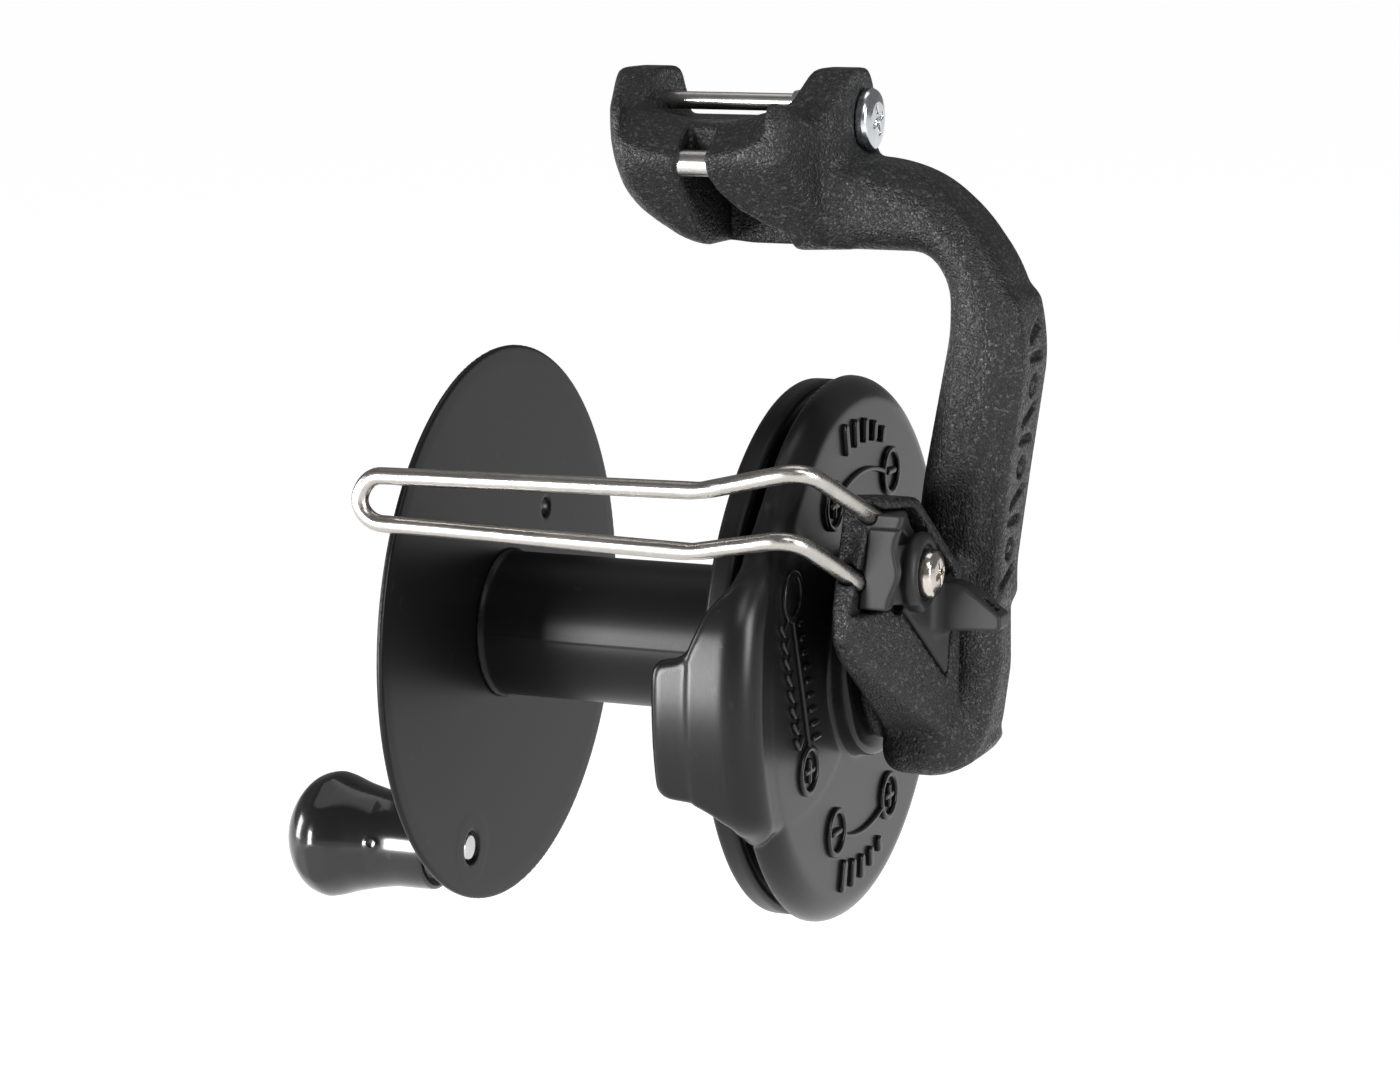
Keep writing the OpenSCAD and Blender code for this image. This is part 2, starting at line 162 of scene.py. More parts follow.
def join(a, b, r=0.0):
    """Both shapes, with a fillet of radius r between them."""
    return -meet(-a, -b, r)


def cut(a, b, r=0.0):
    """The first shape without the second."""
    return meet(a, -b, r)


def smooth(a, low, high):
    """0 below low, 1 above high and an even curve between."""
    t = np.clip((a - low) / (high - low), 0, 1)
    return t * t * (3 - 2 * t)


def slab(v, low, high):
    return np.maximum(low - v, v - high)


def disc(u, v, at, r):
    return np.hypot(u - at[0], v - at[1]) - r


def bar(u, v, a, b, r):
    """Distance to a straight bar with round ends, in a plane."""
    e = (b[0] - a[0], b[1] - a[1])
    t = np.clip(((u - a[0]) * e[0] + (v - a[1]) * e[1]) / (e[0] ** 2 + e[1] ** 2), 0, 1)
    return np.hypot(u - a[0] - t * e[0], v - a[1] - t * e[1]) - r


def outline(u, v, points):
    """Signed distance to a closed outline in the plane of u and v."""
    u, v = np.broadcast_arrays(u, v)
    near = np.full(u.shape, 1e9, np.float32)
    inside = np.zeros(u.shape, bool)
    for (ax, ay), (bx, by) in zip(points, points[1:] + points[:1]):
        ex, ey = bx - ax, by - ay
        if ex == 0 and ey == 0:
            continue
        wx, wy = u - ax, v - ay
        t = np.clip((wx * ex + wy * ey) / (ex * ex + ey * ey), 0, 1)
        near = np.minimum(near, (wx - t * ex) ** 2 + (wy - t * ey) ** 2)
        over = ex * wy > ey * wx
        up = (v >= ay) & (v < by) & over
        down = (v < ay) & (v >= by) & ~over
        inside ^= up | down
    return np.where(inside, -1, 1).astype(np.float32) * np.sqrt(near)


def rounded(points, steps=7):
    """Outline whose corners (u, v, radius) are rounded as far as the sides allow."""
    made = []
    for i, (u, v, r) in enumerate(points):
        corner = Vector((u, v))
        back = Vector(points[i - 1][:2]) - corner
        on = Vector(points[(i + 1) % len(points)][:2]) - corner
        if r == 0:
            made.append((u, v))
            continue
        half = back.angle(on) / 2
        reach = min(r / math.tan(half), 0.499 * back.length, 0.499 * on.length)
        a = corner + back.normalized() * reach
        b = corner + on.normalized() * reach
        for k in range(steps + 1):
            t = k / steps
            made.append(tuple(a * (1 - t) ** 2 + corner * 2 * t * (1 - t) + b * t * t))
    return made


def sample(grid, points):
    """Values of a grid at points given in cells, by trilinear interpolation."""
    top = np.array(grid.shape) - 2
    base = np.clip(points.astype(np.int64), 0, top)
    t = np.clip(points - base, 0, 1)
    value = np.zeros(len(points), np.float32)
    for dx in (0, 1):
        for dy in (0, 1):
            for dz in (0, 1):
                w = (t[:, 0] if dx else 1 - t[:, 0]) * (t[:, 1] if dy else 1 - t[:, 1])
                w = w * (t[:, 2] if dz else 1 - t[:, 2])
                value += w * grid[base[:, 0] + dx, base[:, 1] + dy, base[:, 2] + dz]
    return value


def net(d):
    """Vertices, in cells, and quads of the surface where the grid d changes sign."""
    inside = d < 0
    n = [s - 1 for s in d.shape]
    count = np.zeros(n, np.int8)
    corners = [(i, j, k) for i in (0, 1) for j in (0, 1) for k in (0, 1)]
    for i, j, k in corners:
        count += inside[i:n[0] + i, j:n[1] + j, k:n[2] + k]
    cells = np.argwhere((count > 0) & (count < 8))
    index = np.full(n, -1, np.int64)
    index[tuple(cells.T)] = np.arange(len(cells))
    total = np.zeros((len(cells), 3), np.float64)
    hits = np.zeros(len(cells), np.float64)
    for a in corners:
        for axis in range(3):
            if a[axis]:
                continue
            b = tuple(c + (1 if i == axis else 0) for i, c in enumerate(a))
            da = d[tuple((cells + a).T)]
            db = d[tuple((cells + b).T)]
            crossed = (da < 0) != (db < 0)
            t = np.where(crossed, da / np.where(da == db, 1, da - db), 0)
            point = np.array(a, float) + t[:, None] * (np.array(b) - np.array(a))
            total += np.where(crossed[:, None], point, 0)
            hits += crossed
    points = cells + total / hits[:, None]
    quads = []
    for axis in range(3):
        first = np.take(inside, range(d.shape[axis] - 1), axis)
        second = np.take(inside, range(1, d.shape[axis]), axis)
        one, two = [i for i in range(3) if i != axis]
        edges = np.argwhere(first != second)
        edges = edges[(edges[:, one] > 0) & (edges[:, two] > 0)]
        edges = edges[(edges[:, one] < n[one]) & (edges[:, two] < n[two])]
        outward = first[tuple(edges.T)]
        ring = []
        for da, db in ((0, 0), (1, 0), (1, 1), (0, 1)):
            cell = edges.copy()
            cell[:, one] -= da
            cell[:, two] -= db
            ring.append(index[tuple(cell.T)])
        quad = np.stack(ring, 1)
        flip = outward if axis != 1 else ~outward
        quad[flip] = quad[flip][:, ::-1]
        quads.append(quad)
    quads = np.concatenate(quads)
    return points, quads[:, ::-1]


def settle(points, quads, d):
    """Evens the vertices out along the surface and puts them back on it."""
    slopes = np.gradient(d)
    for relax in (0.5, 0.5, 0.5, 0.0, 0.0):
        if relax:
            total = np.zeros_like(points)
            hits = np.zeros(len(points))
            for k in range(4):
                for other in (1, 3):
                    np.add.at(total, quads[:, k], points[quads[:, (k + other) % 4]])
                    np.add.at(hits, quads[:, k], 1)
            points = points + relax * (total / np.maximum(hits, 1)[:, None] - points)
        gradient = np.stack([sample(g, points) for g in slopes], 1)
        size = np.maximum((gradient ** 2).sum(1), 0.05)
        points = points - gradient * (sample(d, points) / size)[:, None]
    return points


# ---- Pieces ----------------------------------------------------------------------


def piece(name, points, faces, body, slot_name, node=None, at=(0, 0, 0)):
    """A mesh from millimetre points, riding on a body and standing for a CAD node."""
    mesh = bpy.data.meshes.new(name)
    points = (np.asarray(points, np.float64) + np.array(at)) * MM
    mesh.from_pydata(points, [], faces)
    mesh.update()
    mesh.polygons.foreach_set("use_smooth", [True] * len(mesh.polygons))
    made = bpy.data.objects.new(name, mesh)
    scene.collection.objects.link(made)
    made.data.materials.append(MATERIALS[slot_name])
    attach(made, body)
    if node:
        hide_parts(node)
    return made


def carve(name, shape, low, high, step, body, slot_name, node=None, at=REEL):
    """A sculpted piece: shape(field) gives the distance field within a box."""
    field = Field(low, high, step)
    d = np.broadcast_to(shape(field), field.shape).astype(np.float32)
    points, quads = net(d)
    points = settle(points, quads, d) * field.step + np.array(field.low)
    return piece(name, points, quads.tolist(), body, slot_name, node, at)


# ---- Materials -------------------------------------------------------------------


class Paint:
    """A node material, built step by step."""

    def __init__(self, name, color, metallic, roughness):
        self.material = bpy.data.materials.new(name)
        self.material.use_nodes = True
        self.tree = self.material.node_tree
        self.shader = self.tree.nodes["Principled BSDF"]
        self.shader.inputs["Base Color"].default_value = (*color, 1)
        self.shader.inputs["Metallic"].default_value = metallic
        self.shader.inputs["Roughness"].default_value = roughness
        self.coords = self.add("ShaderNodeTexCoord").outputs["Object"]
        self.bump = None

    def add(self, kind, **values):
        node = self.tree.nodes.new(kind)
        for key, value in values.items():
            setattr(node, key, value)
        return node

    def link(self, a, b):
        self.tree.links.new(a, b)

    def stretched(self, scale, turn=(0, 0, 0)):
        """Object coordinates, turned and then scaled along each axis."""
        mapping = self.add("ShaderNodeMapping")
        mapping.inputs["Rotation"].default_value = turn
        mapping.inputs["Scale"].default_value = scale
        self.link(self.coords, mapping.inputs["Vector"])
        return mapping.outputs["Vector"]

    def noise(self, scale, detail=2.0, rough=0.5, vector=None):
        node = self.add("ShaderNodeTexNoise")
        node.inputs["Scale"].default_value = scale
        node.inputs["Detail"].default_value = detail
        node.inputs["Roughness"].default_value = rough
        self.link(vector or self.coords, node.inputs["Vector"])
        return node.outputs["Fac"]

    def cells(self, scale):
        """Random grey for each small grain, and the distance from its middle."""
        node = self.add("ShaderNodeTexVoronoi")
        node.inputs["Scale"].default_value = scale
        self.link(self.coords, node.inputs["Vector"])
        split = self.add("ShaderNodeSeparateColor")
        self.link(node.outputs["Color"], split.inputs["Color"])
        return split.outputs["Red"], node.outputs["Distance"]

    def remap(self, value, a, b, to_a=0.0, to_b=1.0):
        node = self.add("ShaderNodeMapRange")
        for key, number in (("From Min", a), ("From Max", b), ("To Min", to_a), ("To Max", to_b)):
            node.inputs[key].default_value = number
        self.link(value, node.inputs["Value"])
        return node.outputs["Result"]

    def math(self, operation, a, b):
        node = self.add("ShaderNodeMath", operation=operation)
        self.link(a, node.inputs[0])
        self.link(b, node.inputs[1])
        return node.outputs[0]

    def mix(self, factor, a, b):
        """Colour between a and b; each is a colour or a socket."""
        node = self.add("ShaderNodeMix", data_type="RGBA")
        self.link(factor, node.inputs["Factor"])
        for value, socket in ((a, node.inputs[6]), (b, node.inputs[7])):
            if isinstance(value, tuple):
                socket.default_value = (*value, 1)
            else:
                self.link(value, socket)
        return node.outputs[2]

    def color(self, socket):
        self.link(socket, self.shader.inputs["Base Color"])

    def roughness(self, socket):
        self.link(socket, self.shader.inputs["Roughness"])

    def raise_by(self, height, distance, strength=1.0):
        """Adds a bump of a height socket, in millimetres."""
        node = self.add("ShaderNodeBump")
        node.inputs["Distance"].default_value = distance * MM
        node.inputs["Strength"].default_value = strength
        self.link(height, node.inputs["Height"])
        if self.bump:
            self.link(self.bump, node.inputs["Normal"])
        self.bump = node.outputs["Normal"]
        self.link(self.bump, self.shader.inputs["Normal"])

    def scratches(self, turn, width=9000, length=60, rare=0.70):
        """Thin straight scratches across the surface, as a 0 to 1 mask."""
        lines = self.noise(1, 1, 0.4, self.stretched((width, length, length), turn))
        patches = self.remap(self.noise(70, 1), 0.5, 0.62)
        return self.math("MULTIPLY", self.remap(lines, rare, rare + 0.03), patches)


def sintered(name, color):
    """Laser-sintered nylon: coarse sparkling grain and faint layer lines."""
    p = Paint(name, color, 0, 0.5)
    grain, middle_of_grain = p.cells(2300)
    speck = p.remap(grain, 0.80, 0.98)
    mottle = p.noise(1300, 3, 0.6)
    dark = tuple(0.4 * c for c in color)
    light = tuple(4 * c for c in color)
    p.color(p.mix(speck, p.mix(p.remap(mottle, 0.35, 0.7), dark, color), light))
    p.roughness(p.remap(grain, 0.0, 1.0, 0.62, 0.3))
    p.shader.inputs["Specular IOR Level"].default_value = 0.27
    p.raise_by(mottle, 0.3, 0.9)
    p.raise_by(middle_of_grain, -0.16, 0.9)
    layers = p.add("ShaderNodeTexWave", wave_type="BANDS", bands_direction="X")
    layers.inputs["Scale"].default_value = 520
    layers.inputs["Distortion"].default_value = 3
    layers.inputs["Detail Scale"].default_value = 0.3
    p.link(p.coords, layers.inputs["Vector"])
    p.raise_by(layers.outputs["Fac"], 0.02, 0.7)
    return p.material


def moulded(name, color, rough, grain=0.5, shine=0.5, coat=0.0, scuffs=0.35):
    """Injection-moulded plastic: fine skin, dust and scratches."""
    p = Paint(name, color, 0, rough)
    worn = tuple(min(1.0, 1.9 * c + 0.01) for c in color)
    scratch = p.scratches((0.3, 0.5, 0.9))
    other = p.scratches((1.1, 0.2, 2.2), 7000, 45, 0.71)
    dust = p.remap(p.cells(900)[0], 0.994, 1.0)
    wear = p.math("MAXIMUM", p.math("MAXIMUM", scratch, other), dust)
    p.color(p.mix(p.remap(wear, 0, 1, 0, scuffs), color, worn))
    p.shader.inputs["Specular IOR Level"].default_value = shine
    p.shader.inputs["Coat Weight"].default_value = coat
    p.shader.inputs["Coat Roughness"].default_value = 0.08
    p.raise_by(p.noise(5200, 2, 0.6), 0.012, grain)
    return p.material


def metal(name, color, rough, streak=(60, 5200, 5200), dents=0.0):
    """Metal with drawn or turned streaks and small dents."""
    p = Paint(name, color, 1, rough)
    lines = p.noise(1, 3, 0.6, p.stretched(streak))
    blotch = p.noise(420, 3, 0.6)
    p.color(p.mix(p.remap(blotch, 0.3, 0.75), tuple(0.86 * c for c in color), color))
    p.roughness(p.remap(lines, 0.25, 0.75, max(0.05, rough - 0.1), rough + 0.12))
    p.raise_by(lines, 0.02, 0.35)
    if dents:
        p.raise_by(p.noise(1100, 2, 0.5), 0.12, dents)
    return p.material


def fibre(name, color):
    """Woven friction lining with bright threads."""
    p = Paint(name, color, 0, 0.85)
    weave = p.add("ShaderNodeTexWave", wave_type="BANDS", bands_direction="DIAGONAL")
    weave.inputs["Scale"].default_value = 260
    weave.inputs["Distortion"].default_value = 2
    p.link(p.coords, weave.inputs["Vector"])
    p.color(p.mix(p.remap(p.noise(900, 3), 0.4, 0.7), color, tuple(2.4 * c for c in color)))
    p.raise_by(weave.outputs["Fac"], 0.15, 0.8)
    return p.material


MATERIALS = {
    "arm": sintered("sintered_nylon", (0.008, 0.008, 0.0084)),
    "block": moulded("block_plastic", (0.012, 0.012, 0.0127), 0.46, 0.9, 0.24, 0.0, 0.3),
    "reel": moulded("reel_plastic", (0.006, 0.006, 0.0063), 0.36, 0.35, 0.16),
    "disc": moulded("disc_plastic", (0.006, 0.006, 0.006), 0.27, 0.4, 0.22),
    "knob": moulded("knob_plastic", (0.006, 0.006, 0.0065), 0.2, 0.1, 0.3, 0.3, 0.5),
    "pin": metal("pin_steel", (0.52, 0.505, 0.485), 0.25),
    "wire": metal("wire_steel", (0.44, 0.42, 0.395), 0.26, (70, 3000, 3000), 0.25),
    "zinc": metal("zinc", (0.62, 0.65, 0.67), 0.16, (300, 900, 900), 0.15),
    "nickel": metal("nickel", (0.56, 0.52, 0.475), 0.17, (300, 700, 700), 0.3),
    "steel": metal("turned_steel", (0.58, 0.58, 0.59), 0.3, (5200, 300, 300)),
    "brass": metal("brass", (0.72, 0.55, 0.28), 0.28, (5200, 300, 300)),
    "aluminium": metal("aluminium", (0.66, 0.67, 0.68), 0.34, (5200, 300, 300)),
    "acetal": moulded("acetal", (0.72, 0.70, 0.64), 0.42, 0.5),
    "friction": fibre("friction_lining", (0.10, 0.08, 0.065)),
}


def dress_cad_nodes():
    """Every CAD node gets the material of its slot."""
    for part in frame["record"]["subparts"]:
        made = frame["nodes"][part["node"]]
        made.data.materials.clear()
        made.data.materials.append(MATERIALS[part["material_slot"]])


# ---- Arm ---------------------------------------------------------------------------


def strut_outline():
    """Front view of the beam, the bend and the strut, down to the foot."""
    foot = REEL_Z - FOOT_DROP
    return rounded([
        (EAR_OUT - 9, -8.9, 0), (28.5, -9.2, 30), (37, -12, 30), (44, -18, 30), (49.6, -25.6, 30),
        (52.6, -33, 30), (53.7, -42, 30), (50.9, -62, 30), (48.7, -79, 30), (49.0, -97, 20),
        (46.8, foot, 13), (FOOT_IN + REEL_X, foot, 4), (FOOT_IN + REEL_X, -81, 9),
        (34.6, -72, 9), (39.2, -46, 30), (40.6, -38, 30), (40.6, -30, 20), (36.8, -24.5, 20),
        (EAR_OUT - 9, -24.5, 0)])


def yoke(f):
    """The yoke's outside: front, side and plan views met together."""
    # towards the front the left cheek keeps to the outline's slant
    slant = 0.4 * np.minimum(f.y + 5, 0) * smooth(-f.x, 2, 10)
    front = outline(f.x + slant, f.z, rounded([
        (-20.7, 6.5, 3), (-EAR_OUT, -1, 6), (-22.2, -5.5, 12), (-21.1, -9.2, 12), (-19.3, -14.4, 12),
        (-16.5, -17.9, 15), (-13, -20.5, 15), (-9.2, -22.8, 15), (-5, -24.4, 15), (1, -25.4, 12),
        (13, -25.4, 20), (EAR_OUT + 2, -24.6, 0), (EAR_OUT + 2, -12, 0), (EAR_OUT, -10, 1),
        (EAR_OUT, 6.5, 1)]))
    ears = outline(f.y, f.z, rounded([
        (-15, -4, 2), (-6.4, 6.6, 6), (5.2, 6.6, 6), (10, -1.5, 5), (10, -12, 2), (-15, -12, 2)]))
    nose = outline(f.y, f.z, rounded([
        (-24.4, -8.9, 0.8), (-24.1, -1.5, 1.5), (-22.2, 1.2, 1.5), (-14.5, -1.2, 5), (-8, -1.2, 3),
        (8, 0, 1), (10, -3, 2), (10, -25.7, 5.6), (-8.2, -25.7, 6)]))
    side = join(ears, nose, 2.5)
    plan = outline(f.x, f.y, rounded([
        (-14.8, -24.6, 3), (-EAR_OUT + 0.6, -10.5, 6), (-EAR_OUT, -7, 4), (-EAR_OUT, 10.3, 9.5),
        (EAR_OUT + 3, 10.3, 0), (EAR_OUT + 3, -9.6, 0), (EAR_OUT + 0.4, -9.8, 3),
        (EAR_OUT - 2.2, -12.4, 5), (16.6, -24.6, 3)]))
    edge = 2.2 - 0.7 * smooth(f.x, 10, 16) * smooth(f.z, -8, -2)
    return meet(meet(front, side, edge), plan, 2.6)


def saddle(f):
    """What the barrel takes up: a level trough whose front lip slopes down."""
    trough = 0.018 * f.x ** 2 * smooth(-f.y, 2, 14)
    level = -2.8 + trough - f.z
    slope = (-2.8 + trough + 0.7125 * (f.y + 16.3) - f.z) * 0.81
    # the ears' inner faces: the outer one leans away towards its top
    sides = np.maximum(f.x - EAR_IN - 0.42 * np.maximum(f.z - 0.3, 0), -f.x - EAR_IN + 0.5)
    return meet(join(level, slope, 1.5), sides, 1.3)


def slot_space(f):
    """The slot through the nose for the hook, open wider below."""
    half = 2.7
    mouth = outline(f.x, f.z, [
        (-half, -11.6), (half, -11.6), (3.4, -14), (5.0, -16.2), (6.3, -17.6), (8.0, -18.7),
        (10.2, -20.2), (13.0, -21.4), (15.0, -30), (-half, -30)])
    low = meet(f.y - 3.4, mouth, 0.6)
    return np.minimum(meet(np.abs(f.x) - half, f.y + 16.5, 0.6), low)


def forearm(f, xr, zr):
    """The forearm beside the friction disc, which carries the guide block, and the foot below it."""
    side = outline(f.y, zr, rounded([
        (-35.6, 23.6, 4), (-38.4, 14.5, 4), (-38.2, 9, 2), (-36, 5.8, 3), (-21.5, -4.2, 20),
        (-11.8, -11, 5), (-9.8, -15, 3), (-8, -FOOT_DROP, 4), (10, -FOOT_DROP, 4), (10, 17.5, 4),
        (-7.2, 17.8, 3), (-19.6, 31.2, 3), (-32.4, 33.0, 3)]))
    leaning = ((xr - 81.6) * 24 - (f.y + 34) * 7) / 25
    arm = meet(side, meet(FOOT_IN - xr, leaning, 1.0), 1.3)
    back = meet(side, slab(xr, FOOT_IN, 88.5), 1.3)
    foot = meet(slab(xr, FOOT_IN, 86.5), slab(zr, -FOOT_DROP, -11), 3.5)
    foot = meet(foot, slab(f.y, -11.0, STRUT_HALF - 3), 3.5)
    return np.minimum(arm, meet(back, -10.5 - f.y, 1.5)), foot


# The pocket for the guide block, in y and z, with corner radii
POCKET = [(-40, 31.2, 0.3), (-21.2, 29.6, 1.5), (-9.4, 16.8, 1), (-9.8, 9, 1), (-11.2, -1.6, 0.6),
          (-25.2, 13.2, 1.5), (-40, 13.6, 0.3)]
# The two legs of the guide wire as they go into the block: bend and foot
UPPER_LEG = ((75.9, -49, 39.3), (82.6, -29, 27.6))
LOWER_LEG = ((73.8, -49, 28.0), (81.3, -29, 15.9))


def nose_start(z):
    """Where the block's front face comes out of the arm's front wall."""
    return 79.6 + 0.142 * (z - 13.8)


def rod_between(f, xr, zr, leg, r):
    """Distance to a round rod between two points."""
    a, b = (np.array(p, float) for p in leg)
    e = b - a
    wx, wy, wz = xr - a[0], f.y - a[1], zr - a[2]
    t = np.clip((wx * e[0] + wy * e[1] + wz * e[2]) / (e @ e), 0, 1.2)
    return np.sqrt((wx - t * e[0]) ** 2 + (wy - t * e[1]) ** 2 + (wz - t * e[2]) ** 2) - r


def mark_row(f):
    """A row of slanted recesses along the strut's outer face, in y and z."""
    marks = None
    for i in range(10):
        z = -37.5 - 4.75 * i
        low, high = (-2.6, z - 1.5), (2.6, z + 0.9)
        if i % 3 == 1:
            low, high = (-2.6, z + 0.2), (2.6, z + 0.2)
        mark = bar(f.y, f.z, low, high, 0.75)
        if i % 3 == 2:
            mark = np.abs(disc(f.y, f.z, (0, z), 1.5)) - 0.55
        marks = mark if marks is None else np.minimum(marks, mark)
    return marks


def arm(f):
    """The whole arm: yoke, strut, forearm and foot, with its recesses, pocket and holes."""
    xr, zr = f.x - REEL_X, f.z - REEL_Z
    front = outline(f.x, f.z, strut_outline())
    # lower down, the strut's front stands back behind the forearm's flat face
    recess = 4.5 * smooth(-f.z, 60, 86) * smooth(f.z, -114, -97)
    strut = meet(front, np.maximum(recess - STRUT_HALF - f.y, f.y - STRUT_HALF), 5.6)
    pad = meet(front - 0.8, np.maximum(0.8 * recess - 7.8 - f.y, f.y - 7.8), 1.6)
    pad = meet(pad, slab(f.z, -86, -30.5), 2.5)
    pad = meet(pad, 42 - f.x)
    strut = join(strut, pad, 1.2)
    body = join(yoke(f), strut, 0.05 + 3.4 * smooth(f.z, -22, -13))
    carrier, foot = forearm(f, xr, zr)
    # outwards the forearm keeps inside the strut's outline, and behind its flat face it stops short
    carrier = np.maximum(carrier, np.minimum(front, f.x - 40))
    valley = meet(meet(-7.6 - f.y, -14.6 - zr, 5), 84 - xr, 3)
    carrier = cut(carrier, valley, 0.6)
    body = join(body, foot, 4.5)
    body = join(body, carrier, 2.6)
    r = np.hypot(f.y, zr)
    body = join(body, meet(slab(xr, 73.2, 80), r - 15, 0.5), 1.0)
    # the recesses are as deep as the pad is proud of the strut
    marks = meet(mark_row(f), -(front + 0.05), 0.25)
    body = cut(body, meet(marks, 44 - f.x), 0.3)
    body = cut(body, saddle(f), 0.7)
    body = cut(body, slot_space(f), 0.5)
    seat = meet(disc(f.y, f.z, (SCREW_Y, SCREW_Z), 5.8), EAR_OUT - 0.25 - f.x)
    body = cut(body, seat, 0.3)
    # the pocket is deep behind the front wall, and the wall is lower where the block comes through
    pocket = outline(f.y, zr, rounded(POCKET))
    deep = meet(pocket, meet(78.5 - xr, -31.4 - f.y), 0.3)
    body = cut(body, np.minimum(deep, meet(pocket, nose_start(zr) - xr)), 0.35)
    for leg in (UPPER_LEG, LOWER_LEG):
        body = cut(body, rod_between(f, xr, zr, leg, 1.85), 0.3)
    return body


def make_arm():
    low, high = (-24, -40, REEL_Z - 20), (57, 12.5, 8)
    carve("cranked_arm", arm, low, high, 0.5, "arm", "arm", "arm", (0, 0, 0))


# ---- Guide block and wire ----------------------------------------------------------


def block(f):
    """The moulded block: plate, nose, boss of the screw, wedge and finger tab."""
    x, y, z = f.x, f.y, f.z
    face = outline(y, z, rounded([
        (-33.7, 30.3, 0.5), (-21.6, 29.2, 2), (-10.6, 17.2, 1.5), (-10.9, 9, 1), (-11.7, -0.7, 0.4),
        (-25.1, 13.8, 1.5), (-33.7, 14.1, 0.5)]))
    r = np.hypot(y - GUIDE_Y, z - GUIDE_Z)
    front = smooth(-y, 28.5, 32.5)
    wave = 0.55 * np.cos((z - 15) * 0.62)
    height = 83.9 + front * (1.2 + 0.1 * (z - 13.8) - wave)
    plate = meet(face, meet(78.7 - x, x - height, 0.5), 0.5)
    # the front face comes through the arm's front wall, with a step near its top
    nose = meet(slab(y, -34.3, -30.5), meet(nose_start(z) + 0.15 - x, x - height - 0.4, 0.5), 0.4)
    nose = meet(nose, slab(z, 14.2, 27.8), 0.3)
    plate = join(plate, nose, 0.3)
    boss = meet(r - 6.3, slab(x, 79, GUIDE_SEAT + 0.6), 1.0)
    rim = np.hypot(r - 5.7, x - (GUIDE_SEAT - 0.7)) - 1.2
    shape = join(plate, join(meet(boss, face, 0.6), meet(rim, face, 0.5), 0.6), 1.8)
    lower = outline(y, z, rounded([
        (-24.6, 13.0, 1), (-11.8, -0.6, 0.4), (-10.9, 9, 1), (-10.9, 16, 1), (-16, 17, 2),
        (-20, 14.6, 2)]))
    lean = 81.8 + (y + 34) * 7 / 24
    wedge = meet(lower, np.maximum(79 - x, (x - lean) * 0.96), 0.4)
    shape = join(shape, wedge, 0.8)
    fin = outline(x, z, rounded([
        (80, 16.2, 1), (90.6, 16.2, 1.5), (92.4, 15.6, 1.5), (98.7, 10.9, 0.8), (98.7, 8.4, 0.9),
        (88, 7.8, 1), (80, 7.8, 1)]))
    tab = meet(fin, slab(y, -15.8, -11.4 + 0.9 * smooth(x, 88, 98)), 0.45)
    notch = meet(bar(x, z, (95.1, 13.0), (97.1, 11.4), 0.42), slab(y, -14.6, -12.4))
    shape = cut(join(shape, tab, 1.8), notch, 0.1)
    seat = meet(r - 4.7, GUIDE_SEAT - x)
    shape = cut(shape, seat, 0.5)
    for leg in (UPPER_LEG, LOWER_LEG):
        shape = cut(shape, rod_between(f, x, z, leg, 1.62), 0.35)
    return shape


def make_block():
    low, high = (77, -35.5, -2), (100.5, -8.5, 32.5)
    carve("wire_guide_block", block, low, high, 0.26, "arm", "block", "guide_block")


def corner(a, b, c, reach, n):
    """Points of a rounded corner at b between a and c."""
    a, b, c = Vector(a), Vector(b), Vector(c)
    p = b + (a - b).normalized() * reach
    q = b + (c - b).normalized() * reach
    return [p * (1 - t) ** 2 + b * 2 * t * (1 - t) + q * t * t for t in (i / n for i in range(n + 1))]


def even(points, step):
    """The same route with points a step apart."""
    made = [points[0]]
    for a, b in zip(points, points[1:]):
        n = max(1, round((b - a).length / step))
        made += [a.lerp(b, (k + 1) / n) for k in range(n)]
    return made


def wire_route():
    """The bent wire in reel coordinates: in from one hole, round the loop and back."""
    y = UPPER_LEG[0][1]
    loop_x, loop_z, loop_r = -0.2, 29.9, 4.1
    bend, kink = 4.8, 2.2
    top, low = (loop_x, y, loop_z + loop_r), (loop_x, y, loop_z - loop_r)
    upper_knee, lower_knee = (57.8, y, 34.9), (56.4, y, 24.7)
    loop = []
    for k in range(25):
        a = math.radians(90 + 7.5 * k)
        # bent by hand, so not quite round
        wide = loop_r * (1 + 0.05 * math.sin(a * 2 + 0.6))
        loop.append(Vector((loop_x + wide * math.cos(a), y, loop_z + loop_r * math.sin(a))))
    points = [Vector(UPPER_LEG[1])]
    points += corner(UPPER_LEG[1], UPPER_LEG[0], upper_knee, bend, 10)
    points += corner(UPPER_LEG[0], upper_knee, top, kink, 6)
    points += loop
    points += corner(low, lower_knee, LOWER_LEG[0], kink, 6)
    points += corner(lower_knee, LOWER_LEG[0], LOWER_LEG[1], bend, 10)
    points += [Vector(LOWER_LEG[1])]
    return even(points, 0.6), (Vector(upper_knee), Vector(lower_knee))


